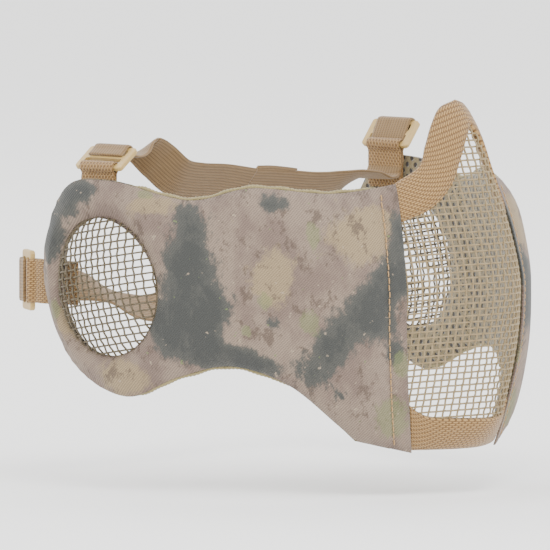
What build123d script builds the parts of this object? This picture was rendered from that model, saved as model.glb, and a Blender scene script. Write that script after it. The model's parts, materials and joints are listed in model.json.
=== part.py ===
from build123d import *
import os
from math import asin, atan2, cos, hypot, radians, sin, sqrt

# Foldable half face mask: a woven wire front joined to two padded cheek and ear panels.
# Millimetres. +Z up, the mask faces -Y, the wearer's right is -X.
# The origin is the middle of the head, on the line between the two ear openings.

os.makedirs("parts", exist_ok=True)

# ---- driving dimensions -------------------------------------------------------------------
EAR_BACK = 119.7        # from the flap edges back to the ear line
EAR_HEIGHT = 74.0       # ear line above the chin edge
FLAP_HALF_WIDTH = 40.5  # flap edge from the middle, at cheek height
REAR_HALF_WIDTH = 108.5
REAR_BACK = 161.0       # flap edge back to the end of the panel arc
PANEL_SAGITTA = 25.0    # how far the panel bows out from its chord
PANEL_LENGTH = 182.0

SEAM = 8.0              # stitch line behind the flap edge
SKIN_OUT = 5.0          # layers, measured outward from the panel arc
SKIN_IN = 3.7
FOAM_OUT = 3.5
FOAM_IN = -1.8
LINING_OUT = -2.0
LINING_IN = -4.0
FLAP_OUT = 2.4
FLAP_IN = 1.1
FLAP_START = 0.7
STEP_END = 15.0         # the skin has climbed from the wire to the foam
PAD_START = 17.5        # foam and lining begin this far behind the flap edge

MESH_HALF = 0.6         # half of the woven wire's thickness
BINDING_HALF = 1.7      # half of the folded webbing's thickness

EAR_S = 141.5           # middle of the ear opening, along the panel
EAR_MINOR = 26.0
EAR_MAJOR = 31.5
EAR_TILT = 10.0
GUARD_RISE = 13.0
GUARD_WALL = 1.0
GUARD_FLANGE = 3.5

WEBBING = 20.0          # width of the elastic and of its tabs
TAB_THICK = 2.4
TAB_REACH = {"top": 3.0, "rear": 11.0}      # from the lobe's edge to the loop
# how far each tri-glide is swung inward by its strap, in degrees
SWING = {(-1, "top"): 55, (1, "top"): -40, (-1, "rear"): 35, (1, "rear"): 35}
TAB_SEWN = 15.0         # length of tab sewn inside the lobe
LOBE_TOP = 121.0        # where the tabs leave the lobe
LOBE_TOP_S = 145.5
LOBE_REAR_S = 180.0
FIRST_BAR = 4.0         # tri-glide's first bar, past the tab's reach
ELASTIC_THICK = 1.3
BAR = 2.4               # tri-glide bars
GLIDE_LENGTH = 27.5
GLIDE_WIDTH = 15.0
BAR_STEP = 6.1          # bar to bar
LOOP_OUTER = 3.1        # webbing loop around a bar
LOOP_INNER = 2.0
TAB_INSET = 6.9         # tab behind the panel arc, against the lining

PANEL_LEVELS = [-4, 12, 30, 50, 76, 102, 128]
# height above the chin edge, ridge in front of the flap edges
RIDGE = [(-2, -1.5), (5, 8.5), (14, 14), (32, 18), (56, 22), (75, 24), (100, 19.5),
         (124, 12), (140, 6.3), (150, 0.5), (162, -9)]

# side outline of a panel: distance behind the flap edge, height above the chin edge
TOP_EDGE = [(-2, 122), (30.5, 118), (66.5, 120.5), (96, 114.7), (134.5, 122.4), (160.5, 117),
            (179, 80.5)]
LOWER_EDGE = [(163.5, 42.5), (133.5, 24.5), (105.5, 34), (80, 39.6), (54.5, 31.3), (33.5, 13.2),
              (25.5, 5.2)]

# nose arch, half of it: distance from the middle, height above the chin edge
ARCH_OUTER = [(35, 121), (23.7, 129), (19, 138), (14.2, 147.5), (8.2, 155.5), (0, 158.7)]
ARCH_INNER = [(38, 104), (25.2, 110.5), (15.1, 121), (8.5, 133.5), (4.5, 141.5), (0, 147.5)]
CHIN_TOP = 14.0
CHIN_TOP_AT_FLAP = 21.0


def flap_edge(height):
    """x and y of the flap edge, which leans back towards the chin and towards the brow."""
    low = max(0.0, (60 - height) / 60) ** 1.6
    high = max(0.0, (min(height, 121) - 72) / 50) ** 1.5
    brow = 0.8 * max(0.0, height - 121)
    x = FLAP_HALF_WIDTH - 11.5 * low - 6.5 * high
    return x, 1.3 + 7 * low + 11.9 * high + brow - EAR_BACK


def panel_point(side, height, along, out):
    """A point at a distance along the panel's arc and at an offset outward from it."""
    x0, y0 = flap_edge(height)
    dx = REAR_HALF_WIDTH - x0
    dy = REAR_BACK - EAR_BACK - y0
    chord = hypot(dx, dy)
    radius = (chord * chord / 4 + PANEL_SAGITTA ** 2) / (2 * PANEL_SAGITTA)
    start = atan2(dx, dy) + asin(chord / 2 / radius)
    angle = start - along / radius
    x = x0 + radius * (cos(angle) - cos(start)) + out * cos(angle)
    y = y0 + radius * (sin(start) - sin(angle)) - out * sin(angle)
    return side * x, y


def panel_plane(side):
    """A plane along the chord of the panel, its normal pointing outward."""
    x0, y0 = panel_point(side, EAR_HEIGHT, 0, 0)
    x1, y1 = panel_point(side, EAR_HEIGHT, PANEL_LENGTH, 0)
    along = Vector(x1 - x0, y1 - y0, 0).normalized()
    return Plane(origin=(x0, y0, -EAR_HEIGHT), x_dir=along, z_dir=along.cross(Vector(0, 0, 1)))


def on_chord(along, height):
    """A panel point seen square to the chord: distance along the chord, height."""
    plane = panel_plane(1)
    x, y = panel_point(1, height if along > 0 else EAR_HEIGHT, along, 0)
    local = plane.to_local_coords(Vector(x, y, 0))
    return local.X, height


def ear_plane(side, out):
    """The plane of the ear opening: local x along the panel, local z outward."""
    x, y = panel_point(side, EAR_HEIGHT, EAR_S, out)
    x1, y1 = panel_point(side, EAR_HEIGHT, EAR_S, out + 10)
    normal = Vector(x1 - x, y1 - y, 0).normalized()
    back = Vector(-side * normal.Y, side * normal.X, 0)
    return Plane(origin=(x, y, 0), x_dir=back, z_dir=normal)


def cut_outline():
    """Points of a panel's side outline, and its lower front corner."""
    return [on_chord(along, height) for along, height in TOP_EDGE + LOWER_EDGE], on_chord(-2, -2)


def panel_layer(side, start, outer, inner, ear_margin):
    """One flat layer of the panel: a bent band, cut to the side outline and the ear opening."""
    with BuildPart() as layer:
        for height in PANEL_LEVELS:
            out_ends = [panel_point(side, height, s, outer) for s in (start, 98, PANEL_LENGTH)]
            in_ends = [panel_point(side, height, s, inner) for s in (PANEL_LENGTH, 98, start)]
            with BuildSketch(Plane.XY.offset(height - EAR_HEIGHT)):
                with BuildLine():
                    ThreePointArc(*out_ends)
                    Line(out_ends[2], in_ends[0])
                    ThreePointArc(*in_ends)
                    Line(in_ends[2], out_ends[0])
                make_face()
        loft()
        with BuildSketch(panel_plane(side)):
            curve, corner = cut_outline()
            with BuildLine():
                Spline(*curve)
                Polyline(curve[-1], corner, curve[0])
            make_face()
        extrude(amount=120, both=True, mode=Mode.INTERSECT)
        with BuildSketch(ear_plane(side, 0)):
            Ellipse(EAR_MINOR + ear_margin, EAR_MAJOR + ear_margin, rotation=-EAR_TILT)
        extrude(amount=30, both=True, mode=Mode.SUBTRACT)
    return layer.part


def outer_skin(side):
    """The camo skin: flat over the wire at the flap, then up over the foam."""
    with BuildPart() as skin:
        for height in PANEL_LEVELS:
            flap = [panel_point(side, height, s, o) for s, o in
                    ((FLAP_START, FLAP_OUT), (SEAM + 1, FLAP_OUT), (STEP_END, SKIN_OUT))]
            under = [panel_point(side, height, s, o) for s, o in
                     ((STEP_END + 0.4, SKIN_IN), (SEAM + 1.4, FLAP_IN), (FLAP_START, FLAP_IN))]
            out_arc = [flap[2]] + [panel_point(side, height, s, SKIN_OUT) for s in (98, PANEL_LENGTH)]
            in_arc = [panel_point(side, height, s, SKIN_IN) for s in (PANEL_LENGTH, 98)] + [under[0]]
            with BuildSketch(Plane.XY.offset(height - EAR_HEIGHT)):
                with BuildLine():
                    Polyline(*flap)
                    ThreePointArc(*out_arc)
                    Line(out_arc[2], in_arc[0])
                    ThreePointArc(*in_arc)
                    Polyline(*under)
                    Line(under[2], flap[0])
                make_face()
        loft()
        with BuildSketch(panel_plane(side)):
            curve, corner = cut_outline()
            with BuildLine():
                Spline(*curve)
                Polyline(curve[-1], corner, curve[0])
            make_face()
        extrude(amount=120, both=True, mode=Mode.INTERSECT)
        with BuildSketch(ear_plane(side, 0)):
            Ellipse(EAR_MINOR, EAR_MAJOR, rotation=-EAR_TILT)
        extrude(amount=30, both=True, mode=Mode.SUBTRACT)
    return skin.part


def face_sections(half, reach):
    """Outlines of the wire front at each height: a rounded wedge that ends behind the flaps."""
    sections = []
    for height, ridge in RIDGE:
        x_edge, y_edge = flap_edge(height)
        depth = ridge + EAR_BACK + y_edge
        fullness = 0.6 - 0.16 * min(1.0, max(0.0, (height - 80) / 40))
        steep = depth * depth / (x_edge * x_edge * (1 - fullness))
        blunt = fullness * x_edge * x_edge / (2 * depth) * steep
        outer, inner = [], []
        for share in (0.25, 0.6, 1.0):
            x = x_edge * share
            root = sqrt(blunt * blunt + steep * x * x)
            slope = steep * x / root
            y = -EAR_BACK - ridge + root - blunt
            length = hypot(1, slope)
            outer.append((x + half * slope / length, y - half / length))
            inner.append((x - half * slope / length, y + half / length))
        if reach:
            outer.append(panel_point(1, height, reach, half))
            inner.append(panel_point(1, height, reach, -half))
        tip = -EAR_BACK - ridge
        mirrored = [(-x, y) for x, y in reversed(outer)]
        outer = mirrored + [(0, tip - half)] + outer
        mirrored = [(-x, y) for x, y in reversed(inner)]
        inner = mirrored + [(0, tip + half)] + inner
        sections.append((height, outer, inner[::-1]))
    return sections


def face_shell(half, reach, border):
    """The curved front, cut to a border drawn in the front view."""
    with BuildPart() as shell:
        for height, outer, inner in face_sections(half, reach):
            with BuildSketch(Plane.XY.offset(height - EAR_HEIGHT)):
                with BuildLine():
                    Spline(*outer)
                    Line(outer[-1], inner[0])
                    Spline(*inner)
                    Line(inner[-1], outer[0])
                make_face()
        loft()
        with BuildSketch(Plane.XZ.offset(EAR_BACK - 30)):
            with BuildLine():
                for curve in border:
                    if len(curve) > 2:
                        Spline(*curve)
                    else:
                        Line(*curve)
            make_face()
        extrude(amount=60, both=True, mode=Mode.INTERSECT)
    return shell.part


def both_sides(half_curve):
    """A half outline from the flap inwards, carried on to the other flap."""
    right = [(-x, z - EAR_HEIGHT) for x, z in half_curve]
    left = [(x, z - EAR_HEIGHT) for x, z in reversed(half_curve[:-1])]
    return right + left


def chin_line(drop):
    half = [(-43, CHIN_TOP_AT_FLAP), (-36, 17), (-26, CHIN_TOP + 0.5), (0, CHIN_TOP)]
    points = half + [(-x, z) for x, z in reversed(half[:-1])]
    return [(x, z - drop - EAR_HEIGHT) for x, z in points]


def ear_guard(side):
    """A domed oval of crimped wire with a flat rim that sits between skin and lining."""
    steps = ((0.0, 1.0), (0.45, 0.86), (0.8, 0.58), (1.0, 0.16))
    with BuildPart() as guard:
        for wall, mode in ((0.0, Mode.ADD), (GUARD_WALL, Mode.SUBTRACT)):
            for rise, share in steps:
                level = rise * (GUARD_RISE - wall) - (0.01 if wall and rise == 0 else 0)
                with BuildSketch(ear_plane(side, -1).offset(level)):
                    Ellipse((EAR_MINOR - 0.6) * share - wall, (EAR_MAJOR - 0.6) * share - wall,
                            rotation=-EAR_TILT)
            loft(mode=mode)
        with BuildSketch(ear_plane(side, -1)):
            Ellipse(EAR_MINOR + GUARD_FLANGE, EAR_MAJOR + GUARD_FLANGE, rotation=-EAR_TILT)
            Ellipse(EAR_MINOR - 1.8, EAR_MAJOR - 1.8, rotation=-EAR_TILT, mode=Mode.SUBTRACT)
        extrude(amount=GUARD_WALL)
    return guard.part


def hardware_plane(side, place):
    """Where a tab leaves the lobe: local x away from the lobe, local y inward, local z along
    the bars."""
    if place == "top":
        x, y = panel_point(side, LOBE_TOP, LOBE_TOP_S, -TAB_INSET)
        z = LOBE_TOP - EAR_HEIGHT + TAB_REACH[place]
        return Plane(origin=(x, y, z), x_dir=(0, 0, 1), z_dir=(0, -side, 0))
    x, y = panel_point(side, EAR_HEIGHT, LOBE_REAR_S, -TAB_INSET)
    return Plane(origin=(x, y + TAB_REACH[place], 0), x_dir=(0, 1, 0), z_dir=(0, 0, side))


def swung_plane(side, place):
    """The same frame with its origin on the first bar, turned the way the strap pulls."""
    base = hardware_plane(side, place)
    turn = radians(SWING[side, place])
    away = base.x_dir * cos(turn) + base.y_dir * sin(turn)
    return Plane(origin=base.origin + base.x_dir * FIRST_BAR, x_dir=away, z_dir=base.z_dir)


def strap_tab(side, place):
    """Webbing sewn inside the lobe and folded round the first bar of the tri-glide."""
    end = FIRST_BAR - LOOP_INNER
    with BuildPart() as tab:
        with BuildSketch(hardware_plane(side, place)):
            with Locations((end, 0)):
                Rectangle(end + TAB_REACH[place] + TAB_SEWN, TAB_THICK, align=(Align.MAX, Align.CENTER))
            with Locations((FIRST_BAR, 0)):
                Circle(LOOP_OUTER)
                Circle(LOOP_INNER, mode=Mode.SUBTRACT)
        extrude(amount=WEBBING / 2, both=True)
    return tab.part


def triglide(side, place):
    """A moulded plastic adjuster with three bars."""
    base = swung_plane(side, place)
    flat = Plane(origin=base.origin, x_dir=base.x_dir, z_dir=base.y_dir)
    with BuildPart() as glide:
        with BuildSketch(flat):
            with Locations((BAR_STEP, 0)):
                RectangleRounded(GLIDE_WIDTH, GLIDE_LENGTH, 1.8)
            with Locations((BAR_STEP / 2, 0), (1.5 * BAR_STEP, 0)):
                RectangleRounded(BAR_STEP - BAR + 0.1, WEBBING + 1.2, 0.8, mode=Mode.SUBTRACT)
        extrude(amount=BAR / 2, both=True)
        flats = glide.faces().sort_by(Axis((0, 0, 0), tuple(base.y_dir)))
        chamfer(flats[-1].outer_wire().edges() + flats[0].outer_wire().edges(), 0.4)
    return glide.part


def elastic_half(side, place):
    """Half of an elastic strap: a loop round the last bar, then a slack ribbon to the middle."""
    base = hardware_plane(side, place)
    reach = abs(base.origin.X)
    turn = radians(SWING[side, place])
    bar = (FIRST_BAR + 2 * BAR_STEP * cos(turn), 2 * BAR_STEP * sin(turn))
    leave = (bar[0] + cos(turn) - 2.2 * sin(turn), bar[1] + sin(turn) + 2.2 * cos(turn))
    if place == "rear":
        route, heading = [(14.5, 24), (19, 50), (21, reach - 32), (21, reach)], (0.2, 1)
    elif side < 0:
        route, heading = [(-3, 44), (-11, reach - 32), (-11, reach)], (-sin(turn), cos(turn))
    else:
        route, heading = [(7, 16), (-3, 44), (-11, reach - 32), (-11, reach)], (0.4, 1)
    with BuildPart() as strap:
        with BuildSketch(base):
            with BuildLine():
                Spline(leave, *route, tangents=[heading, (0, 1)])
            trace(line_width=ELASTIC_THICK)
            with Locations(bar):
                Circle(LOOP_OUTER)
                Circle(LOOP_INNER, mode=Mode.SUBTRACT)
        extrude(amount=WEBBING / 2, both=True)
    return strap.part


# ---- the pieces ---------------------------------------------------------------------------
ARCH_IN = both_sides(ARCH_INNER)
ARCH_OUT = both_sides(ARCH_OUTER)
CHIN = chin_line(0)

mesh_border = [
    [(-60, 104 - EAR_HEIGHT), ARCH_IN[0]],
    ARCH_IN,
    [ARCH_IN[-1], (60, 104 - EAR_HEIGHT)],
    [(60, 104 - EAR_HEIGHT), (60, CHIN[-1][1])],
    [(60, CHIN[-1][1]), CHIN[-1]],
    CHIN,
    [CHIN[0], (-60, CHIN[0][1])],
    [(-60, CHIN[0][1]), (-60, 104 - EAR_HEIGHT)],
]
face_mesh = face_shell(MESH_HALF, SEAM, mesh_border)
face_mesh.label = "face_mesh"
export_step(face_mesh, "parts/face_mesh.step")

nose_border = [ARCH_OUT, [ARCH_OUT[-1], ARCH_IN[-1]], ARCH_IN, [ARCH_IN[0], ARCH_OUT[0]]]
nose_binding = face_shell(BINDING_HALF, 0, nose_border)
nose_binding.label = "nose_binding"
export_step(nose_binding, "parts/nose_binding.step")

chin_border = [CHIN, [CHIN[-1], (43, -EAR_HEIGHT)], [(43, -EAR_HEIGHT), (-43, -EAR_HEIGHT)],
               [(-43, -EAR_HEIGHT), CHIN[0]]]
chin_binding = face_shell(BINDING_HALF, 0, chin_border)
chin_binding.label = "chin_binding"
export_step(chin_binding, "parts/chin_binding.step")

for side, name in ((-1, "right"), (1, "left")):
    pieces = {
        f"{name}_outer_skin": outer_skin(side),
        f"{name}_foam_pad": panel_layer(side, PAD_START, FOAM_OUT, FOAM_IN, GUARD_FLANGE + 1),
        f"{name}_spacer_lining": panel_layer(side, PAD_START, LINING_OUT, LINING_IN, 0),
        f"{name}_ear_guard": ear_guard(side),
    }
    for place in ("top", "rear"):
        pieces[f"{name}_{place}_strap_tab"] = strap_tab(side, place)
        pieces[f"{name}_{place}_triglide"] = triglide(side, place)
        pieces[f"{name}_{place}_elastic"] = elastic_half(side, place)
    for label, piece in pieces.items():
        piece.label = label
        export_step(piece, f"parts/{label}.step")

top_middle = hardware_plane(-1, "top")
with BuildPart() as stitched_end:
    with BuildSketch(Plane(origin=(15, top_middle.origin.Y, top_middle.origin.Z - 9.4))):
        Rectangle(24, WEBBING)
    extrude(amount=ELASTIC_THICK - 0.1)
stitched_end.part.label = "top_elastic_sewn_end"
export_step(stitched_end.part, "parts/top_elastic_sewn_end.step")
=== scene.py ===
import json
from math import asin, atan2, cos, hypot, pi, radians, sin, sqrt

import bmesh
import bpy
import numpy as np
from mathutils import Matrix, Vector


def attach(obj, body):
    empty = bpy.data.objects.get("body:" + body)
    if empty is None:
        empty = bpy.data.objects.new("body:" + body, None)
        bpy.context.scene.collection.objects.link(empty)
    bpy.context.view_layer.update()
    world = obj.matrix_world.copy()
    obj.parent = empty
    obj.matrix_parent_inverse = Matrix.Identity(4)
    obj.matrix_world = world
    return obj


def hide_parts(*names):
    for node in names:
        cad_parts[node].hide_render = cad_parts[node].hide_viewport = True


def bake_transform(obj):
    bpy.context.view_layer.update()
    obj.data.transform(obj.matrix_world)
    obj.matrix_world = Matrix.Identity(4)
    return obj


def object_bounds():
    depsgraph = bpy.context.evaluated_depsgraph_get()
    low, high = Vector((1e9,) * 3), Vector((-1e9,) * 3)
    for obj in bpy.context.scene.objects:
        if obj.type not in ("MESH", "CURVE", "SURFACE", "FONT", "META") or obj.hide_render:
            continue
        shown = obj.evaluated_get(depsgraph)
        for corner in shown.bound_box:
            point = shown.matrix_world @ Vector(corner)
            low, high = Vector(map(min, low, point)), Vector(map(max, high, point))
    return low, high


# Foldable half face mask. Shapes below are worked out in millimetres and built in metres.
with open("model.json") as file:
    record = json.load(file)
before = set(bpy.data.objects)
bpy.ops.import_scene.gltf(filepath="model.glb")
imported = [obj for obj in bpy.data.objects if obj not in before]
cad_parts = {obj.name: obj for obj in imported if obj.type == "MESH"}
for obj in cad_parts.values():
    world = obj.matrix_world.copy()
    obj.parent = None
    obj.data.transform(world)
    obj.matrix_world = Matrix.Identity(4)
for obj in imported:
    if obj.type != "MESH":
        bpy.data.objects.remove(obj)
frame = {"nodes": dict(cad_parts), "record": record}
cad_low, cad_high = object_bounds()
MM = 0.001
JOINTS = {joint["name"]: joint for joint in frame["record"]["behaviour"]["joints"]}

# ---- the same driving dimensions as the CAD model -----------------------------------------
EAR_BACK = 119.7
EAR_HEIGHT = 74.0
FLAP_HALF_WIDTH = 40.5
REAR_HALF_WIDTH = 108.5
REAR_BACK = 161.0
PANEL_SAGITTA = 25.0
SEAM = 8.0
EAR_S = 141.5
EAR_MINOR = 26.0
EAR_MAJOR = 31.5
EAR_TILT = 10.0
GUARD_RISE = 13.0
WEBBING = 20.0
BAR_STEP = 6.1
RIDGE = [(-2, -1.5), (5, 8.5), (14, 14), (32, 18), (56, 22), (75, 24), (100, 19.5),
         (124, 12), (140, 6.3), (150, 0.5), (162, -9)]
TOP_EDGE = [(-2, 122), (30.5, 118), (66.5, 120.5), (96, 114.7), (134.5, 122.4), (160.5, 117),
            (179, 80.5)]
LOWER_EDGE = [(163.5, 42.5), (133.5, 24.5), (105.5, 34), (80, 39.6), (54.5, 31.3), (33.5, 13.2),
              (25.5, 5.2)]
FRONT_CORNER = (-2, -1.5)
ARCH_OUTER = [(35, 121), (23.7, 129), (19, 138), (14.2, 147.5), (8.2, 155.5), (0, 158.7)]
ARCH_INNER = [(38, 104), (25.2, 110.5), (15.1, 121), (8.5, 133.5), (4.5, 141.5), (0, 147.5)]
CHIN_TOP = [(34, 21), (30, 17.5), (23, 15), (0, 14)]
CUT_S = 96.0            # where the panel's front grid meets the rings round the ear

# ---- fine detail and looks ----------------------------------------------------------------
WIRE_R = 0.46
WEAVE_LIFT = WIRE_R * 0.95      # how far a wire rises and dips where it crosses another
WIRE_ACROSS = 3.4       # pitch of the front mesh's upright wires
WIRE_UP = 2.9           # pitch of its level wires
GUARD_PITCH = 3.3
STEPS = 4               # samples along a wire of the front, for each wire it crosses
TAB_THICK = 1.1
ELASTIC_THICK = 1.3
TONE = 0.61             # darkens every colour to suit the bright studio
VIVID = 1.42            # how far colours are pushed from grey, against the pale studio light
VIEW_WIDTH = 0.253      # metres across the picture, at the middle of the mask

# lean of each tri-glide at rest, in degrees inward from its lobe's plane
SWING = {"right_top": 55, "left_top": -40, "right_rear": 35, "left_rear": 35}
# middle line of each strap in millimetres, from beside its tri-glide to the middle of the head
TOP_ROUTES = {
    "right": [(-84, 11.8, 58), (-77.5, 11.8, 58), (-70, 11.8, 60), (-61, 11, 54.5), (-50, 10, 47),
              (-38, 10, 44.5), (-20, 10, 43), (0, 10, 40)],
    "left": [(103.5, 11.8, 55), (102.5, 11.8, 46), (99.5, 11.5, 40.5), (94, 10, 39), (86, 10, 40.5),
             (76, 10, 39), (62, 10, 36), (45, 10, 36), (24, 10, 38), (0, 10, 40)],
}
REAR_ROUTE = [(88, 65.5, -1), (76, 67, -2), (58, 67, -4), (40, 66, -8), (22, 65, -16), (0, 64, -20)]
# x where each strap is parted into the piece at its tri-glide and the piece behind the head
STRAP_CUT = {"right_top": -70.0, "left_top": 98.5, "right_rear": -76.0, "left_rear": 76.0}
# camo blotches: distance behind the flap edge, height, half width, half height
DARK = [(94, 106, 9, 9), (97, 90, 12, 11), (98, 74, 16, 13), (100, 58, 15, 10), (96, 46, 16, 8),
        (80, 44, 12, 6), (66, 40, 10, 5), (88, 66, 9, 8), (158, 112, 12, 8), (168, 100, 9, 10),
        (172, 90, 6, 8), (148, 118, 8, 4), (1, 98, 6, 14), (3, 80, 9, 9), (12, 76, 9, 9),
        (20, 66, 10, 8), (28, 56, 10, 8), (36, 46, 10, 8), (44, 36, 8, 6), (12, 60, 9, 6),
        (31, 27, 5, 3), (56, 114, 10, 4), (110, 60, 8, 8), (6, 46, 5, 8), (60, 60, 5, 4)]
SAND = [(21, 98, 13, 10), (12, 106, 8, 5), (131, 34, 12, 8), (113, 112, 10, 4), (60, 80, 9, 12),
        (160, 60, 8, 10)]
GREEN = [(41, 100, 3, 7), (44, 60, 4, 6), (72, 56, 3, 3), (9, 16, 8, 10), (170, 62, 3, 5),
         (116, 117, 4, 2), (3, 40, 4, 6), (64, 70, 3, 4)]


# ---- camera, light and floor --------------------------------------------------------------
def make_camera():
    """Straight on to the right cheek, a little from the front and from above."""
    turn, lift, distance = radians(-50), radians(4.2), 9.0
    back = Vector((sin(turn) * cos(lift), -cos(turn) * cos(lift), sin(lift)))
    beside = Vector((cos(turn), sin(turn), 0))
    target = beside * 0.00537 + Vector((0, 0, -0.0007))
    data = bpy.data.cameras.new("camera")
    data.sensor_width = 36
    data.lens = data.sensor_width * distance / VIEW_WIDTH
    data.clip_end = 90
    camera = bpy.data.objects.new("camera", data)
    bpy.context.collection.objects.link(camera)
    camera.location = target + back * distance
    camera.rotation_mode = "QUATERNION"
    camera.rotation_quaternion = (-back).to_track_quat("-Z", "Y")
    bpy.context.scene.camera = camera


def make_light(name, place, energy, size):
    """A square soft light aimed at the mask."""
    data = bpy.data.lights.new(name, "AREA")
    data.energy, data.size = energy, size
    light = bpy.data.objects.new(name, data)
    light.location = place
    light.rotation_mode = "QUATERNION"
    light.rotation_quaternion = Vector(place).to_track_quat("Z", "Y")
    bpy.context.collection.objects.link(light)


def make_studio():
    make_light("key", (-1.3, -1.5, 1.9), 44, 1.0)
    make_light("fill", (0.9, -1.6, 0.7), 8, 1.5)
    make_light("rim", (0.6, 1.5, 1.3), 12, 1.2)
    world = bpy.data.worlds.new("studio")
    world.use_nodes = True
    background = world.node_tree.nodes["Background"]
    background.inputs["Color"].default_value = (1, 1, 1, 1)
    background.inputs["Strength"].default_value = 2.15
    bpy.context.scene.world = world
    mesh = bpy.data.meshes.new("floor")
    reach, level = 30, cad_low.z - 0.02
    corners = [(-reach, -reach, level), (reach, -reach, level), (reach, reach, level),
               (-reach, reach, level)]
    mesh.from_pydata(corners, [], [(0, 1, 2, 3)])
    floor = bpy.data.objects.new("floor", mesh)
    bpy.context.collection.objects.link(floor)
    floor.data.materials.append(plain_material("floor_paper", (0.93, 0.93, 0.92), 0.9))


# ---- materials ----------------------------------------------------------------------------
def linear(red, green, blue):
    """Linear colour of an 8-bit screen colour, a little deeper to suit the bright studio."""
    def channel(value):
        value /= 255
        value = value / 12.92 if value <= 0.04045 else ((value + 0.055) / 1.055) ** 2.4
        return TONE * value ** 1.12
    grey = (red + green + blue) / 3
    return (*(channel(min(255.0, grey + VIVID * (c - grey))) for c in (red, green, blue)), 1)


class Nodes:
    """A small helper that adds shader nodes to one material."""

    def __init__(self, name, roughness, sheen=0.0):
        self.material = bpy.data.materials.new(name)
        self.material.use_nodes = True
        self.tree = self.material.node_tree
        self.shader = self.tree.nodes["Principled BSDF"]
        self.shader.inputs["Roughness"].default_value = roughness
        self.shader.inputs["Sheen Weight"].default_value = sheen
        self.uv = self.add("ShaderNodeUVMap").outputs[0]

    def add(self, kind, **settings):
        node = self.tree.nodes.new(kind)
        for key, value in settings.items():
            setattr(node, key, value)
        return node

    def put(self, socket, value):
        if isinstance(value, bpy.types.NodeSocket):
            self.tree.links.new(value, socket)
        else:
            socket.default_value = value

    def mapped(self, scale, turn=0.0, shift=(0, 0, 0)):
        node = self.add("ShaderNodeMapping")
        self.put(node.inputs["Vector"], self.uv)
        node.inputs["Scale"].default_value = scale
        node.inputs["Rotation"].default_value = (0, 0, turn)
        node.inputs["Location"].default_value = shift
        return node.outputs[0]

    def noise(self, vector, scale, detail=3.0, rough=0.5):
        node = self.add("ShaderNodeTexNoise")
        self.put(node.inputs["Vector"], vector)
        node.inputs["Scale"].default_value = scale
        node.inputs["Detail"].default_value = detail
        node.inputs["Roughness"].default_value = rough
        return node.outputs[0]

    def math(self, operation, first, second=0.0, third=0.0):
        node = self.add("ShaderNodeMath", operation=operation)
        for socket, value in zip(node.inputs, (first, second, third)):
            self.put(socket, value)
        return node.outputs[0]

    def step(self, value, low, high):
        node = self.add("ShaderNodeMapRange", interpolation_type="SMOOTHSTEP")
        self.put(node.inputs[0], value)
        node.inputs[1].default_value = low
        node.inputs[2].default_value = high
        return node.outputs[0]

    def mix(self, amount, first, second):
        node = self.add("ShaderNodeMix", data_type="RGBA", blend_type="MIX")
        self.put(node.inputs[0], amount)
        self.put(node.inputs[6], first)
        self.put(node.inputs[7], second)
        return node.outputs[2]

    def parts(self, vector):
        node = self.add("ShaderNodeSeparateXYZ")
        self.put(node.inputs[0], vector)
        return node.outputs[0], node.outputs[1]

    def rows(self, value, pitch):
        """0 to 1 and back once per pitch."""
        angle = self.math("MULTIPLY_ADD", value, 2 * pi / pitch, 0.0)
        return self.math("MULTIPLY_ADD", self.math("SINE", angle), 0.5, 0.5)

    def attribute(self, name):
        return self.add("ShaderNodeAttribute", attribute_name=name).outputs["Fac"]

    def finish(self, colour, height=None, depth=0.0003, strength=0.6):
        self.put(self.shader.inputs["Base Color"], colour)
        if height is not None:
            bump = self.add("ShaderNodeBump")
            bump.inputs["Distance"].default_value = depth
            bump.inputs["Strength"].default_value = strength
            self.put(bump.inputs["Height"], height)
            self.put(self.shader.inputs["Normal"], bump.outputs[0])
        return self.material


def plain_material(name, colour, roughness):
    nodes = Nodes(name, roughness)
    mottle = nodes.noise(nodes.mapped((40, 40, 40)), 1.0)
    amount = nodes.math("MULTIPLY", mottle, 0.06)
    return nodes.finish(nodes.mix(amount, (*colour, 1), (0.8, 0.8, 0.8, 1)))


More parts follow.
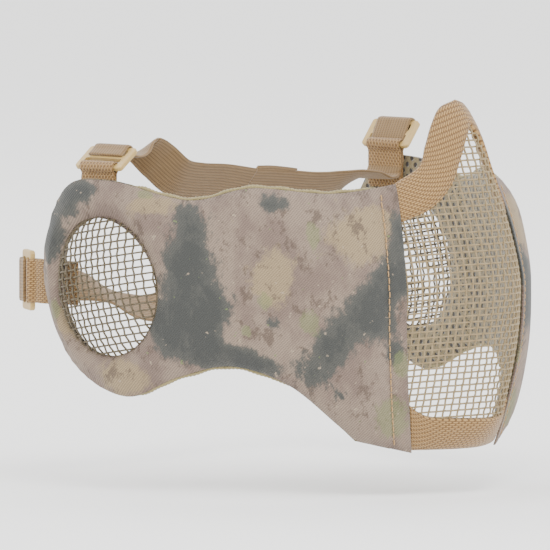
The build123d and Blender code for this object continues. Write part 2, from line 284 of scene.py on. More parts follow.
def camo_material():
    """Printed polyester: ragged blotches over taupe, with a fine diagonal weave whose grooves carry
    painted shade.
    """
    nodes = Nodes("camo_fabric", 0.85, 0.1)
    ragged = nodes.noise(nodes.mapped((95, 62, 1)), 1.0, 6, 0.72)
    fine = nodes.noise(nodes.mapped((520, 300, 1), shift=(3, 7, 0)), 1.0, 4, 0.7)
    broad = nodes.noise(nodes.mapped((48, 30, 1), shift=(1.7, 4.2, 0)), 1.0, 5, 0.65)
    colour = nodes.mix(nodes.step(broad, 0.4, 0.6), linear(152, 136, 127), linear(178, 163, 150))

    def region(name, coarse, grain):
        rough = nodes.math("MULTIPLY_ADD", ragged, coarse, nodes.attribute(name))
        return nodes.math("MULTIPLY_ADD", fine, grain, rough)

    sand = nodes.step(region("sand", 1.1, 0.5), 0.95, 1.2)
    colour = nodes.mix(nodes.math("MULTIPLY", sand, 0.85), colour, linear(190, 174, 146))
    brown = nodes.noise(nodes.mapped((120, 80, 1), shift=(9, 2, 0)), 1.0, 6, 0.75)
    brown = nodes.math("MULTIPLY_ADD", fine, 0.35, brown)
    colour = nodes.mix(nodes.math("MULTIPLY", nodes.step(brown, 0.7, 0.8), 0.75), colour,
                       linear(112, 98, 88))
    dark = region("dark", 1.35, 0.55)
    colour = nodes.mix(nodes.step(dark, 1.2, 1.48), colour, linear(101, 102, 98))
    deep = nodes.math("MULTIPLY", nodes.step(dark, 1.5, 1.85), 0.75)
    colour = nodes.mix(deep, colour, linear(73, 77, 76))
    green = nodes.step(region("green", 0.9, 0.6), 0.95, 1.15)
    colour = nodes.mix(nodes.math("MULTIPLY", green, 0.5), colour, linear(152, 160, 118))
    dots = nodes.noise(nodes.mapped((260, 260, 1), shift=(5, 5, 0)), 1.0, 2)
    colour = nodes.mix(nodes.math("MULTIPLY", nodes.step(dots, 0.68, 0.73), 0.7), colour,
                       linear(208, 194, 176))
    specks = nodes.noise(nodes.mapped((230, 230, 1), shift=(1, 9, 0)), 1.0, 2)
    colour = nodes.mix(nodes.math("MULTIPLY", nodes.step(specks, 0.7, 0.74), 0.6), colour,
                       linear(150, 164, 116))
    along, up = nodes.parts(nodes.uv)
    twill = nodes.rows(nodes.math("ADD", along, nodes.math("MULTIPLY", up, 0.95)), 0.00135)
    pick = nodes.rows(nodes.math("SUBTRACT", up, nodes.math("MULTIPLY", along, 0.35)), 0.0009)
    weave = nodes.math("MULTIPLY_ADD", twill, 0.7, nodes.math("MULTIPLY", pick, 0.3))
    # painted shade: the weave's grooves are darkened up to half way toward a dark grey-brown
    colour = nodes.mix(nodes.math("MULTIPLY_ADD", weave, -0.5, 0.5), colour, linear(72, 66, 62))
    return nodes.finish(colour, weave, 0.0003, 0.7)


def webbing_material():
    """Twill webbing: long staggered yarns with painted shade in the dark gaps between them."""
    nodes = Nodes("webbing", 0.78, 0.2)
    along, across = nodes.parts(nodes.uv)
    lean = nodes.math("MULTIPLY_ADD", across, 0.45, along)
    cell = nodes.math("FLOOR", nodes.math("DIVIDE", across, 0.00095))
    shifted = nodes.math("MULTIPLY_ADD", cell, 0.00095, lean)
    dash = nodes.rows(shifted, 0.0027)
    groove = nodes.rows(across, 0.00095)
    fill = nodes.math("MULTIPLY", nodes.step(groove, 0.0, 0.5), nodes.step(dash, 0.03, 0.4))
    tone = nodes.noise(nodes.mapped((160, 900, 1)), 1.0, 3)
    yarn = nodes.mix(tone, linear(178, 148, 104), linear(208, 181, 138))
    # painted shade: where the yarns part, the colour is a dark brown
    colour = nodes.mix(fill, linear(128, 102, 66), yarn)
    return nodes.finish(colour, fill, 0.0004, 0.8)


def elastic_material():
    """Woven elastic: lengthwise cords crossed by fine picks, with painted shade in the valleys between
    them.
    """
    nodes = Nodes("elastic", 0.8, 0.2)
    along, across = nodes.parts(nodes.uv)
    cords = nodes.rows(across, 0.0015)
    picks = nodes.rows(nodes.math("MULTIPLY_ADD", cords, 0.0003, along), 0.0009)
    tone = nodes.noise(nodes.mapped((90, 500, 1)), 1.0, 3)
    base = nodes.mix(tone, linear(146, 124, 93), linear(168, 146, 114))
    shade = nodes.math("MULTIPLY_ADD", cords, 0.6, nodes.math("MULTIPLY", picks, 0.4))
    # painted shade: the valleys between cords and picks are a dark brown
    colour = nodes.mix(nodes.step(shade, 0.0, 0.6), linear(112, 93, 68), base)
    return nodes.finish(colour, shade, 0.00025, 0.6)


def spacer_material():
    """Knitted air mesh: round holes in staggered rows, painted near black as shade, on a fuzzy cream
    ground deepened toward khaki as painted shade of the mask's inside.
    """
    nodes = Nodes("spacer_mesh", 0.9, 0.3)
    grid = nodes.add("ShaderNodeTexVoronoi")
    nodes.put(grid.inputs["Vector"], nodes.mapped((250, 250, 1), radians(45)))
    grid.inputs["Scale"].default_value = 1.0
    grid.inputs["Randomness"].default_value = 0.0
    hole = nodes.step(grid.outputs["Distance"], 0.22, 0.34)
    knit = nodes.noise(nodes.mapped((2200, 1400, 1)), 1.0, 2)
    # the ground is the knit's own colour, deepened toward khaki as painted shade of the mask's inside
    ground = nodes.mix(knit, linear(128, 117, 92), linear(164, 153, 124))
    # painted shade: the holes are a near-black brown
    colour = nodes.mix(hole, linear(48, 40, 30), ground)
    height = nodes.math("MULTIPLY_ADD", knit, 0.25, hole)
    return nodes.finish(colour, height, 0.0009, 0.9)


def knit_material():
    """The folded edge of the air mesh, too tight to show its holes."""
    nodes = Nodes("folded_knit", 0.9, 0.3)
    loops = nodes.noise(nodes.mapped((1500, 1500, 1)), 1.0, 3)
    colour = nodes.mix(loops, linear(140, 128, 98), linear(196, 186, 150))
    return nodes.finish(colour, loops, 0.0006, 0.8)


def foam_material():
    nodes = Nodes("foam", 0.95)
    cells = nodes.noise(nodes.mapped((1800, 1800, 1)), 1.0, 2)
    return nodes.finish(nodes.mix(cells, linear(196, 190, 168), linear(226, 221, 204)), cells, 0.0003)


def wire_material(name, tone):
    """Steel wire under matt khaki paint, a little chalky on the high spots."""
    nodes = Nodes(name, 0.5)
    place = nodes.add("ShaderNodeTexCoord").outputs["Object"]
    patch = nodes.noise(place, 300, 4)
    fine = nodes.noise(place, 2500, 2)
    low, high = (168, 150, 116), (196, 180, 148)
    # tone scales the paint's colour; the ear guard's 0.62 is painted shade
    colour = nodes.mix(patch, linear(*(tone * c for c in low)), linear(*(tone * c for c in high)))
    colour = nodes.mix(nodes.math("MULTIPLY", fine, 0.25), colour, linear(*(tone * 120,) * 3))
    return nodes.finish(colour, fine, 0.0001, 0.4)


def glide_material():
    """Moulded plastic with a faint grain and scuffed edges."""
    nodes = Nodes("moulded_plastic", 0.42)
    place = nodes.add("ShaderNodeTexCoord").outputs["Object"]
    grain = nodes.noise(place, 1500, 3)
    cloud = nodes.noise(place, 120, 3)
    colour = nodes.mix(cloud, linear(206, 182, 134), linear(218, 196, 150))
    colour = nodes.mix(nodes.math("MULTIPLY", nodes.step(grain, 0.55, 0.8), 0.25), colour,
                       linear(238, 224, 196))
    return nodes.finish(colour, grain, 0.00006, 0.4)


def thread_material():
    nodes = Nodes("thread", 0.7, 0.2)
    twist = nodes.noise(nodes.add("ShaderNodeTexCoord").outputs["Object"], 4000, 2)
    return nodes.finish(nodes.mix(twist, linear(176, 146, 106), linear(214, 186, 146)), twist, 0.0001)


# ---- curves and surfaces ------------------------------------------------------------------
def smooth(points, count):
    """Evenly many samples of a smooth curve through the points."""
    pts = np.array(points, float)
    ends = np.vstack([2 * pts[0] - pts[1], pts, 2 * pts[-1] - pts[-2]])
    out = []
    for t in np.linspace(0, len(pts) - 1 - 1e-9, count):
        i = int(t)
        f = t - i
        a, b, c, d = ends[i:i + 4]
        out.append(0.5 * (2 * b + (c - a) * f + (2 * a - 5 * b + 4 * c - d) * f ** 2
                          + (3 * b - a - 3 * c + d) * f ** 3))
    return np.array(out)


def even(points, count):
    """The same line with samples at even distances along it."""
    gaps = np.linalg.norm(np.diff(points, axis=0), axis=1)
    walked = np.concatenate([[0], np.cumsum(gaps)])
    marks = np.linspace(0, walked[-1], count)
    return np.stack([np.interp(marks, walked, points[:, k]) for k in range(points.shape[1])], 1)


RIDGE_LINE = smooth(RIDGE, 400)


def ridge_at(height):
    return float(np.interp(height, RIDGE_LINE[:, 0], RIDGE_LINE[:, 1]))


def flap_edge(height):
    low = max(0.0, (60 - height) / 60) ** 1.6
    high = max(0.0, (min(height, 121) - 72) / 50) ** 1.5
    brow = 0.8 * max(0.0, height - 121)
    x = FLAP_HALF_WIDTH - 11.5 * low - 6.5 * high
    return x, 1.3 + 7 * low + 11.9 * high + brow - EAR_BACK


def panel_point(side, height, along, out):
    """A world point (mm) on a panel: distance behind the flap edge, height, offset outward."""
    x0, y0 = flap_edge(height)
    dx, dy = REAR_HALF_WIDTH - x0, REAR_BACK - EAR_BACK - y0
    chord = hypot(dx, dy)
    radius = (chord * chord / 4 + PANEL_SAGITTA ** 2) / (2 * PANEL_SAGITTA)
    start = atan2(dx, dy) + asin(chord / 2 / radius)
    angle = start - along / radius
    x = x0 + radius * (cos(angle) - cos(start)) + out * cos(angle)
    y = y0 + radius * (sin(start) - sin(angle)) - out * sin(angle)
    return np.array((side * x, y, height - EAR_HEIGHT))


def face_point(x, height):
    """A world point (mm) on the wire front."""
    x_edge, y_edge = flap_edge(height)
    ridge = ridge_at(height)
    depth = ridge + EAR_BACK + y_edge
    fullness = 0.6 - 0.16 * min(1.0, max(0.0, (height - 80) / 40))
    steep = depth * depth / (x_edge * x_edge * (1 - fullness))
    blunt = fullness * x_edge * x_edge / (2 * depth) * steep
    y = -EAR_BACK - ridge + sqrt(blunt * blunt + steep * x * x) - blunt
    return np.array((x, y, height - EAR_HEIGHT))


def face_offset(x, height, out):
    here = face_point(x, height)
    wide = face_point(x + 0.5, height) - face_point(x - 0.5, height)
    tall = face_point(x, height + 0.5) - face_point(x, height - 0.5)
    normal = np.cross(wide, tall)
    return here + normal / np.linalg.norm(normal) * out


# ---- mesh building ------------------------------------------------------------------------
def add_mesh(name, points, faces, material, uv=None, extra=None):
    """A mesh object from points in millimetres. uv holds one (u, v) in metres for each point."""
    mesh = bpy.data.meshes.new(name)
    mesh.from_pydata([tuple(p) for p in np.array(points) * MM], [], [tuple(f) for f in faces])
    if uv is not None:
        layer = mesh.uv_layers.new(name="UVMap")
        index = np.zeros(len(mesh.loops), int)
        mesh.loops.foreach_get("vertex_index", index)
        layer.data.foreach_set("uv", np.array(uv, float)[index].ravel())
    for key, values in (extra or {}).items():
        mesh.attributes.new(key, "FLOAT", "POINT").data.foreach_set("value", np.array(values, "f"))
    mesh.materials.append(material)
    mesh.shade_smooth()
    work = bmesh.new()
    work.from_mesh(mesh)
    bmesh.ops.recalc_face_normals(work, faces=work.faces)
    work.to_mesh(mesh)
    work.free()
    obj = bpy.data.objects.new(name, mesh)
    bpy.context.collection.objects.link(obj)
    return obj


def add_tube(store, line, radius, sides=6):
    """Adds a round tube along a line of points to store = (points, faces)."""
    points, faces = store
    line = np.array(line, float)
    first = len(points)
    ahead = np.gradient(line, axis=0)
    ahead /= np.linalg.norm(ahead, axis=1)[:, None] + 1e-12
    up = np.array((0.0, 0.0, 1.0)) if abs(ahead[0][2]) < 0.8 else np.array((1.0, 0.0, 0.0))
    for centre, way in zip(line, ahead):
        aside = np.cross(way, up)
        aside /= np.linalg.norm(aside) + 1e-12
        up = np.cross(aside, way)
        for k in range(sides):
            turn = 2 * pi * k / sides
            points.append(centre + radius * (cos(turn) * aside + sin(turn) * up))
    for i in range(len(line) - 1):
        for k in range(sides):
            a, b = first + i * sides + k, first + i * sides + (k + 1) % sides
            faces.append((a, b, b + sides, a + sides))
    faces.append(tuple(first + k for k in reversed(range(sides))))
    faces.append(tuple(first + (len(line) - 1) * sides + k for k in range(sides)))


def add_stretches(store, spots):
    """Adds a wire along each unbroken stretch of spots. None marks a gap."""
    run = []
    for spot in list(spots) + [None]:
        if spot is not None:
            run.append(spot)
            continue
        if len(run) > 2:
            add_tube(store, run, WIRE_R, 6)
        run = []


def ribbon(name, centre, widths, width, thick, material, start=0.0):
    """A flat strap with rounded edges. widths holds its across direction at each sample."""
    centre = np.array(centre, float)
    ahead = np.gradient(centre, axis=0)
    ahead /= np.linalg.norm(ahead, axis=1)[:, None] + 1e-12
    walked = start + np.concatenate([[0], np.cumsum(np.linalg.norm(np.diff(centre, axis=0), axis=1))])
    rim = [(-1, 0), (-0.97, 0.7), (-0.85, 1), (-0.4, 1), (0, 1), (0.4, 1), (0.85, 1), (0.97, 0.7),
           (1, 0), (0.97, -0.7), (0.85, -1), (0.4, -1), (0, -1), (-0.4, -1), (-0.85, -1), (-0.97, -0.7)]
    points, faces, uv = [], [], []
    for i, (spot, way) in enumerate(zip(centre, ahead)):
        across = widths[i] - way * np.dot(widths[i], way)
        across /= np.linalg.norm(across)
        normal = np.cross(way, across)
        for w, t in rim:
            points.append(spot + across * w * width / 2 + normal * t * thick / 2)
            uv.append((walked[i] * MM, (w * width / 2 + (0.4 if t < 0 else 0)) * MM))
    n = len(rim)
    for i in range(len(centre) - 1):
        for k in range(n):
            a, b = i * n + k, i * n + (k + 1) % n
            faces.append((a, b, b + n, a + n))
    faces.append(tuple(reversed(range(n))))
    faces.append(tuple((len(centre) - 1) * n + k for k in range(n)))
    return add_mesh(name, points, faces, material, uv)


# ---- the wire front and its bindings ------------------------------------------------------
ARCH_LINES = {"inner": smooth(ARCH_INNER, 120), "chin": smooth(CHIN_TOP, 120)}


def curve_height(which, x):
    """Height of the nose arch's inner edge or of the chin binding's top, beside the middle."""
    line = ARCH_LINES[which]
    return float(np.interp(abs(x), line[::-1, 0], line[::-1, 1]))


def front_section(height):
    """Samples across the front at one height, with their distance from the ridge."""
    x_edge = flap_edge(height)[0]
    xs = np.linspace(0, x_edge, 60)
    line = [face_point(x, height) for x in xs]
    line += [panel_point(1, height, s, 0) for s in (2, 4, 6, 7.6)]
    line = np.array(line)
    walked = np.concatenate([[0], np.cumsum(np.linalg.norm(np.diff(line, axis=0), axis=1))])
    return line, walked


def make_face_mesh(material):
    """Plain woven wire: every wire passes over and under the ones it crosses."""
    heights = np.arange(2.0, 160.0, WIRE_UP / STEPS)
    sections = [front_section(h) for h in heights]
    store = ([], [])

    def place(index, distance, out):
        line, walked = sections[index]
        d = min(abs(distance), walked[-1])
        spot = np.array([np.interp(d, walked, line[:, k]) for k in range(3)])
        near = np.array([np.interp(min(d + 0.6, walked[-1]), walked, line[:, k]) for k in range(3)])
        before = np.array([np.interp(max(d - 0.6, 0), walked, line[:, k]) for k in range(3)])
        way = near - before
        if d < 0.6:
            way = np.array((1.0, 0, 0))
        normal = np.array((way[1], -way[0], 0.0))
        spot = spot + normal / np.linalg.norm(normal) * out
        if distance < 0:
            spot[0] = -spot[0]
        return spot

    def inside(x, height):
        return curve_height("chin", x) - 4 < height < curve_height("inner", x) + 4

    reach = max(walked[-1] for _, walked in sections)
    count = int(reach / WIRE_ACROSS) + 1
    for k in range(-count, count + 1):
        distance = k * WIRE_ACROSS
        spots = []
        for i, height in enumerate(heights):
            spot = place(i, distance, WEAVE_LIFT * cos(pi * (height / WIRE_UP + k)))
            kept = abs(distance) <= sections[i][1][-1] and inside(spot[0], height)
            spots.append(spot if kept else None)
        add_stretches(store, spots)
    for row in range(0, len(heights) - 1, STEPS):
        spots = []
        for distance in np.arange(-reach, reach + 0.1, WIRE_ACROSS / STEPS):
            height = heights[row] + 2.6 * (1 - min(1, abs(distance) / 50) ** 1.5)
            index = min(len(heights) - 1, int(round((height - heights[0]) / (WIRE_UP / STEPS))))
            spot = place(index, distance,
                         -WEAVE_LIFT * cos(pi * (distance / WIRE_ACROSS + row // STEPS)))
            spot[2] = height - EAR_HEIGHT
            kept = abs(distance) <= sections[index][1][-1] and inside(spot[0], height)
            spots.append(spot if kept else None)
        add_stretches(store, spots)
    front = add_mesh("woven_face_mesh", *store, material)
    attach(front, "front")
    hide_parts("face_mesh")


def binding(name, node, edge, inner, samples, material):
    """Webbing folded over an edge of the wire. edge and inner are rows of (x, height)."""
    around = [(0.0, 1.5), (0.25, 1.65), (0.55, 1.65), (0.8, 1.6), (0.94, 1.25), (1.0, 0.5),
              (1.0, -0.5), (0.94, -1.25), (0.8, -1.6), (0.55, -1.65), (0.25, -1.65), (0.0, -1.5)]
    points, faces, uv = [], [], []
    walked = 0.0
    last = None
    for i in range(samples):
        (xi, hi), (xo, ho) = inner[i], edge[i]
        middle = face_point((xi + xo) / 2, (hi + ho) / 2)
        if last is not None:
            walked += np.linalg.norm(middle - last)
        last = middle
        width = hypot(xo - xi, ho - hi)
        for across, out in around:
            x, h = xi + (xo - xi) * across, hi + (ho - hi) * across
            points.append(face_offset(x, h, out))
            uv.append((walked * MM, (across * width + (0.5 if out < 0 else 0)) * MM))
    n = len(around)
    for i in range(samples - 1):
        for k in range(n):
            a, b = i * n + k, i * n + (k + 1) % n
            faces.append((a, b, b + n, a + n))
    faces.append(tuple(range(n)))
    faces.append(tuple((samples - 1) * n + k for k in range(n)))
    band = add_mesh(name, points, faces, material, uv)
    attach(band, "front")
    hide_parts(node)


def both_ways(half, samples):
    """A half outline mirrored into a whole one, evenly sampled."""
    half = np.array(half, float)
    whole = np.vstack([half * (-1, 1), half[::-1][1:]])
    return even(whole, samples)


def make_bindings(material):
    samples = 120
    binding("nose_arch_binding", "nose_binding", both_ways(smooth(ARCH_OUTER, 80), samples),
            both_ways(smooth(ARCH_INNER, 80), samples), samples, material)
    lower = [(29 - 29 * t, 0.3) for t in np.linspace(0, 1, 40)]
    binding("chin_edge_binding", "chin_binding", both_ways(lower, samples),
            both_ways(smooth(CHIN_TOP, 80), samples), samples, material)


# ---- the cheek and ear panels -------------------------------------------------------------
def panel_outline(margin):
    """Upper and lower edges of the panel as (s, height) rows from front to rear."""
    line = smooth(TOP_EDGE + LOWER_EDGE, 600)
    line = np.vstack([line, np.linspace(LOWER_EDGE[-1], FRONT_CORNER, 40)[1:]])
    way = np.gradient(line, axis=0)
    way /= np.linalg.norm(way, axis=1)[:, None]
    line = line + np.stack([-way[:, 1], way[:, 0]], 1) * margin
    tip = int(np.argmax(line[:, 0]))
    return line[:tip + 1], line[tip:][::-1]


def in_ear(turn, margin):
    """Radius of the ear opening in a direction, from its middle."""
    tilt = radians(90 - EAR_TILT)
    a, b = EAR_MAJOR + margin, EAR_MINOR + margin
    along, across = cos(turn - tilt), sin(turn - tilt)
    return 1 / sqrt((along / a) ** 2 + (across / b) ** 2)


def panel_grid(start, margin, ear_margin):
    """A flat mesh of the panel in (s, height): columns at the front, rings round the ear."""
    upper, lower = panel_outline(margin)
    top = float(np.interp(CUT_S, upper[:, 0], upper[:, 1]))
    base = float(np.interp(CUT_S, lower[:, 0], lower[:, 1]))
    middle = np.array((EAR_S, EAR_HEIGHT))
    turn_top = atan2(top - middle[1], CUT_S - middle[0])
    turn_base = atan2(base - middle[1], CUT_S - middle[0]) + 2 * pi
    rows = 34
    front_turns = np.linspace(turn_top, turn_base, rows + 1)
    rear_turns = np.linspace(turn_base, turn_top + 2 * pi, 92)[1:-1]
    rim = np.vstack([upper[upper[:, 0] > CUT_S], lower[lower[:, 0] > CUT_S][::-1]])
    angles = np.unwrap(np.arctan2(rim[:, 1] - middle[1], rim[:, 0] - middle[0]))
    radii = np.hypot(rim[:, 0] - middle[0], rim[:, 1] - middle[1])
    order = np.argsort(angles)
    angles, radii = angles[order], radii[order]
    points, faces = [], []
    rings = 18
    turns = list(front_turns) + list(rear_turns)
    for turn in turns:
        if turn <= turn_base + 1e-9:
            far = (CUT_S - middle[0]) / cos(turn)
        else:
            wrapped = turn
            while wrapped > angles[-1] + 1e-6:
                wrapped -= 2 * pi
            far = float(np.interp(wrapped, angles, radii))
        near = in_ear(turn, ear_margin)
        for j in range(rings + 1):
            t = 0.5 - 0.5 * cos(pi * j / rings)
            radius = near + (far - near) * t
            points.append(middle + radius * np.array((cos(turn), sin(turn))))
    count = len(turns)
    for i in range(count):
        for j in range(rings):
            a, b = i * (rings + 1) + j, (i + 1) % count * (rings + 1) + j
            faces.append((a, a + 1, b + 1, b))
    join = [i * (rings + 1) + rings for i in range(rows + 1)]
    shares = [(points[k][1] - base) / (top - base) for k in join]
    near_flap = start + 14
    columns = (list(np.linspace(CUT_S, near_flap, 34))[1:]
               + list(np.linspace(near_flap, start, 14))[1:])
    previous = join
    for s in columns:
        t = float(np.interp(s, upper[:, 0], upper[:, 1]))
        b = float(np.interp(s, lower[:, 0], lower[:, 1]))
        now = []
        for share in shares:
            now.append(len(points))
            points.append(np.array((s, b + (t - b) * share)))
        for j in range(rows):
            faces.append((previous[j], previous[j + 1], now[j + 1], now[j]))
        previous = now
    return np.array(points), faces


def border_distance(flat, margin=0.0):
    """How far each point is from the panel's edge or from the ear opening."""
    upper, lower = panel_outline(margin)
    rim = np.vstack([upper, lower])
    edge = np.min(np.linalg.norm(flat[:, None, :] - rim[None, ::2, :], axis=2), axis=1)
    away = flat - np.array((EAR_S, EAR_HEIGHT))
    ear = np.array([hypot(*p) - in_ear(atan2(p[1], p[0]), 0) for p in away])
    return np.minimum(edge, np.maximum(ear, 0))


def closed_layer(name, side, start, margin, ear_margin, outer, inner, material, extra=None):
    """A closed layer of the panel between two offset functions of the flat position."""
    flat, faces = panel_grid(start, margin, ear_margin)
    distance = border_distance(flat, margin)
    high = outer(flat, distance)
    low = inner(flat, distance)
    n = len(flat)
    points = [panel_point(side, h, s, o) for (s, h), o in zip(flat, high)]
    points += [panel_point(side, h, s, o) for (s, h), o in zip(flat, low)]
    every = [tuple(f) for f in faces] + [tuple(k + n for k in reversed(f)) for f in faces]
    used = {}
    for face in faces:
        for a, b in zip(face, face[1:] + face[:1]):
            used[(a, b)] = True
    for a, b in used:
        if (b, a) not in used:
            every.append((b, a, a + n, b + n))
    uv = [(s * MM, h * MM) for s, h in flat] * 2
    values = {key: list(field(flat)) * 2 for key, field in (extra or {}).items()}
    return add_mesh(name, points, every, material, uv, values)


def puff(distance, height, reach):
    return height * (1 - np.exp(-distance / reach))


def behind_seam(flat, distance):
    """Distance from the nearest stitched edge, counting the flap's stitch line."""
    return np.minimum(distance, np.maximum(flat[:, 0] - SEAM, 0) * 0.8)


def ripple(flat):
    """Small puckers that run out from the stitch line."""
    s, h = flat[:, 0], flat[:, 1]
    near = np.exp(-np.abs(s - SEAM) / 9)
    wave = np.sin(h / 3.1 + 0.8 * np.sin(h / 11)) * 0.22 + np.sin(h / 7.3 + s / 9) * 0.3
    broad = 0.5 * np.sin(s / 17 + h / 29) * np.sin(h / 21 - s / 37)
    return near * wave + broad * np.clip((s - SEAM) / 20, 0, 1)


def skin_outer(flat, distance):
    d = behind_seam(flat, distance)
    lift = 1.7 + puff(d, 4.9, 6.0) + ripple(flat)
    flap = 2.5 + 0.12 * np.sin(flat[:, 1] / 5) - 0.5 * np.exp(-((flat[:, 0] - SEAM) / 0.9) ** 2)
    share = np.clip((flat[:, 0] - SEAM) / 3, 0, 1)
    return flap * (1 - share) + lift * share + 0.6 * (1 - share) * share


def skin_inner(flat, distance):
    return skin_outer(flat, distance) - 0.9


def foam_outer(flat, distance):
    return skin_outer(flat, distance + 2) - 1.15


def lining_inner(flat, distance):
    d = behind_seam(flat, distance)
    return -0.6 - puff(d, 3.6, 5.0) - 0.25 * np.sin(flat[:, 0] / 9) * np.sin(flat[:, 1] / 13)


def lining_outer(flat, distance):
    return lining_inner(flat, distance) + 1.1


def foam_inner(flat, distance):
    return lining_outer(flat, distance + 2) + 0.2


def blotches(places):
    def field(flat):
        total = np.zeros(len(flat))
        for s, h, rs, rh in places:
            total += np.exp(-(((flat[:, 0] - s) / rs) ** 2 + ((flat[:, 1] - h) / rh) ** 2))
        return np.clip(total * 0.75, 0, 0.85)
    return field


def seam_thread(side, name, material):
    """Lock stitches along the flap, each one a short arch of thread."""
    store = ([], [])
    for h in np.arange(3.0, 117.0, 3.1):
        run = []
        for t in np.linspace(0, 1, 6):
            s = SEAM - 0.1 * sin(h)
            at = np.array([[s, h + 2.5 * t]])
            out = float(skin_outer(at, np.array([5.0]))[0]) + 0.3 + 0.3 * sin(pi * t)
            run.append(panel_point(side, h + 2.5 * t, s, out))
        add_tube(store, run, 0.3, 6)
    return add_mesh(f"{name}_flap_stitching", *store, material)


def edge_roll(side, name, material):
    """The lining's knit, rolled over the panel's edge as a thin scalloped lip."""
    upper, lower = panel_outline(0.3)
    store = ([], [])
    for line, way, first, last in ((upper, 1, 9, 126), (lower, -1, 52, 128)):
        line = even(line, 900)
        keep = line[(line[:, 0] > first) & (line[:, 0] < last)]
        run = []
        for i, (s, h) in enumerate(keep):
            tuck = 1.6 * max(0.0, 1 - min(s - first, last - s) / 9)
            scallop = 0.5 * abs(sin(i * 0.42)) + 0.25 * sin(i * 0.11) - 0.3
            run.append(panel_point(side, h + way * (scallop - tuck), s, 0.35 - tuck))
        add_tube(store, run, 0.9, 8)
    points, faces = store
    uv = [(p[1] * MM, p[2] * MM) for p in points]
    return add_mesh(f"{name}_lining_edge", points, faces, material, uv)


def make_panel(side, name, looks):
    """Skin, foam, lining and stitching."""
    camo = {"dark": blotches(DARK), "sand": blotches(SAND), "green": blotches(GREEN)}
    skin = closed_layer(f"{name}_camo_skin", side, 0.0, 0.0, 0.0, skin_outer, skin_inner,
                        looks["camo"], camo)
    foam = closed_layer(f"{name}_foam", side, 11.0, -2.2, 3.0, foam_outer, foam_inner, looks["foam"])
    lining = closed_layer(f"{name}_air_mesh_lining", side, 9.4, 0.2, 0.0, lining_outer,
                          lining_inner, looks["spacer"])
    thread = seam_thread(side, name, looks["thread"])
    roll = edge_roll(side, name, looks["knit"])
    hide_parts(f"{name}_outer_skin")
    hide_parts(f"{name}_foam_pad")
    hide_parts(f"{name}_spacer_lining")
    for piece, slot in ((skin, "camo_fabric"), (foam, "foam"), (lining, "spacer_mesh"),
                        (thread, "webbing"), (roll, "spacer_mesh")):
        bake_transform(piece)


def make_ear_guard(side, name, material):
    """A dome of crimped wire and its flat rim, caught between skin and lining."""
    centre = panel_point(side, EAR_HEIGHT, EAR_S, -1)
    normal = panel_point(side, EAR_HEIGHT, EAR_S, 9) - centre
    normal /= np.linalg.norm(normal)
    back = np.array((-side * normal[1], side * normal[0], 0))
    tilt = radians(EAR_TILT)

    def place(u, v, out):
        """u across and v up in the plane of the rim."""
        share = (u / (EAR_MINOR + 1)) ** 2 + (v / (EAR_MAJOR + 1)) ** 2
        rise = (GUARD_RISE - 1.2) * max(0.0, 1 - share) ** 0.6
        a = u * cos(tilt) + v * sin(tilt)
        b = v * cos(tilt) - u * sin(tilt)
        return centre + back * a + np.array((0, 0, 1.0)) * b + normal * (rise + 0.6 + out)

    store = ([], [])
    counts = (int(EAR_MINOR / GUARD_PITCH) + 1, int(EAR_MAJOR / GUARD_PITCH) + 1)
    for upright in (True, False):
        for k in range(-counts[0 if upright else 1], counts[0 if upright else 1] + 1):
            fixed = k * GUARD_PITCH
            run = []
            for moving in np.arange(-36.3, 36.4, GUARD_PITCH / 6):
                u, v = (fixed, moving) if upright else (moving, fixed)
                inside = (u / (EAR_MINOR + 1)) ** 2 + (v / (EAR_MAJOR + 1)) ** 2 < 1.06
                sign = 1 if upright else -1
                out = sign * WEAVE_LIFT * cos(pi * (moving / GUARD_PITCH + k))
                if inside:
                    run.append(place(u, v, out))
            if len(run) > 2:
                add_tube(store, run, WIRE_R, 6)
    ring = []
    for turn in np.linspace(0, 2 * pi, 90):
        ring.append(place((EAR_MINOR + 1.2) * cos(turn), (EAR_MAJOR + 1.2) * sin(turn), 0))
    add_tube(store, ring, 0.8, 8)
    guard = add_mesh(f"{name}_ear_guard_mesh", *store, material)
    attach(guard, f"{name}_panel")
    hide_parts(f"{name}_ear_guard")


# ---- straps -------------------------------------------------------------------------------
def first_bar(name, place):
    return np.array(JOINTS[f"{name}_{place}_glide_swing"]["pos_m"]) * 1000


def lobe_axes(side, place):
    """Directions at a tab: away from the lobe, inward to the head, and across the webbing."""
    up, back = np.array((0, 0, 1.0)), np.array((0, 1.0, 0))
    away, across = (up, back) if place == "top" else (back, up)
    return away, np.array((-side, 0, 0.0)), across


def glide_frame(side, name, place):
    """The first bar, and the directions away from it and inward in the tri-glide's plane."""
    away, inward, _ = lobe_axes(side, place)
    turn = radians(SWING[f"{name}_{place}"])
    return (first_bar(name, place), away * cos(turn) + inward * sin(turn),
            inward * cos(turn) - away * sin(turn))


def loop_round(bar, away, inward, radius, first, last, samples):
    """Arc of a strap round a bar, from one angle to another, 0 pointing away from the lobe."""
    turns = np.radians(np.linspace(first, last, samples))
    return [bar + radius * (cos(t) * away + sin(t) * inward) for t in turns]


def make_tab(side, name, place, material):
    """Webbing sewn inside the lobe, folded round the first bar and back."""
    bar = first_bar(name, place)
    away, inward, across = lobe_axes(side, place)
    sewn = 20 if place == "top" else 28
    spread = 1.4 if place == "rear" else 0.5
    outer = [bar - away * d - inward * (0.62 + spread * sin(pi * min(1, (d - 3) / (sewn - 13)) ** 0.8))
             for d in np.linspace(sewn - 10.5, 3.2, 12)]
    outer = [bar - away * d - inward * 0.62 for d in np.linspace(sewn, sewn - 9.5, 5)] + outer
    inner = [bar - away * d + inward * 0.62 for d in np.linspace(3.2, sewn - 1, 10)]
    line = outer + loop_round(bar, away, inward, 2.3, -150, 150, 20) + inner
    line = even(np.array(line), 60)
    tab = ribbon(f"{name}_{place}_webbing_tab", line, [across] * len(line), WEBBING,
                 TAB_THICK, material)
    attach(tab, f"{name}_panel")
    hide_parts(f"{name}_{place}_strap_tab")


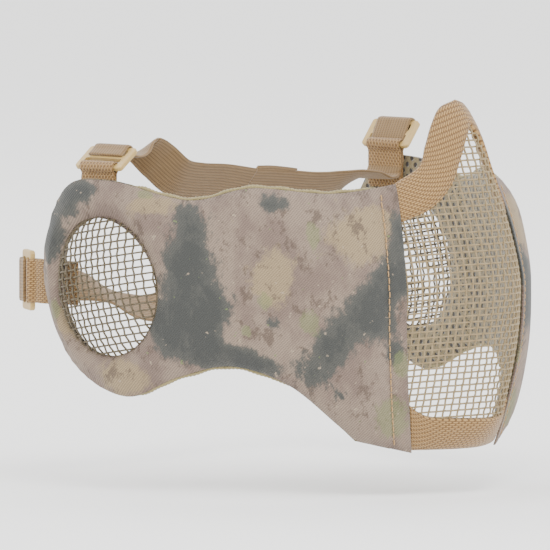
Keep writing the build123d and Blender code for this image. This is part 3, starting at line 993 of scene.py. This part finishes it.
def make_elastic(side, name, place, material):
    """Half of a head strap: round the last bar, then slack to the middle."""
    first, away, inward = glide_frame(side, name, place)
    bar = first + away * 2 * BAR_STEP
    if place == "top":
        route = TOP_ROUTES[name]
        flat, steep = np.array((0, 1.0, 0)), np.array((0, 0.55, -0.83))
        twist = (0.16, 0.42) if name == "right" else (0.3, 0.6)
    else:
        route = [(side * x, y, z) for x, y, z in REAR_ROUTE]
        flat, steep = np.array((0, 0, 1.0)), np.array((0, 0.8, 0.6))
        twist = (0.1, 0.7)
    tail = [bar - away * d - inward * 2.0 for d in (6, 4, 2)]
    last = 120 if (place, name) == ("top", "left") else 75
    loop = loop_round(bar, away, inward, 2.35, -110, last, 16)
    line = even(smooth(tail + loop[::3] + route, 400), 170)
    widths = []
    for t in np.linspace(0, 1, len(line)):
        share = min(1.0, max(0.0, (t - twist[0]) / (twist[1] - twist[0])))
        share = share * share * (3 - 2 * share)
        widths.append(flat * (1 - share) + steep * share)
    # two pieces, as each may bend across one joint only: round the bar, and on to the middle
    cut_x = STRAP_CUT[f"{name}_{place}"]
    cut = len(line) - 1 - int(np.argmax(side * line[::-1, 0] > side * cut_x))
    near = ribbon(f"{name}_{place}_elastic_loop", line[:cut + 1], widths[:cut + 1], WEBBING,
                  ELASTIC_THICK, material)
    far = ribbon(f"{name}_{place}_elastic_strap", line[cut:], widths[cut:], WEBBING,
                 ELASTIC_THICK, material)
    for piece in (near, far):
        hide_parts(f"{name}_{place}_elastic")
    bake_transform(near)
    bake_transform(far)


def make_sewn_end(elastic):
    """The cut end of the top strap, sewn back on itself just past the middle."""
    line = even(smooth([(1, 9.4, 41.4), (10, 9.4, 41), (20, 9.4, 39.9), (28, 9.4, 38.8)], 60), 24)
    end = ribbon("top_strap_sewn_end", line, [np.array((0, 0.55, -0.83))] * 24, WEBBING - 0.4, 1.2,
                 elastic, 3.0)
    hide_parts("top_elastic_sewn_end")
    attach(end, "front")


def make_everything():
    make_camera()
    make_studio()
    looks = {"camo": camo_material(), "webbing": webbing_material(), "elastic": elastic_material(),
             "spacer": spacer_material(), "knit": knit_material(),
             # the ear guard's wire: the front's khaki paint at 0.62 of its tone, darkened as painted
             # shade
             "ear": wire_material("ear_wire", 0.62), "foam": foam_material(),
             "wire": wire_material("painted_wire", 0.95), "glide": glide_material(),
             "thread": thread_material()}
    make_face_mesh(looks["wire"])
    make_bindings(looks["webbing"])
    for side, name in ((-1, "right"), (1, "left")):
        make_panel(side, name, looks)
        make_ear_guard(side, name, looks["ear"])
        for place in ("top", "rear"):
            make_tab(side, name, place, looks["webbing"])
            make_elastic(side, name, place, looks["elastic"])
            glide = frame["nodes"][f"{name}_{place}_triglide"]
            for material_slot in glide.material_slots:
                material_slot.material = looks["glide"]
    make_sewn_end(looks["elastic"])


make_everything()
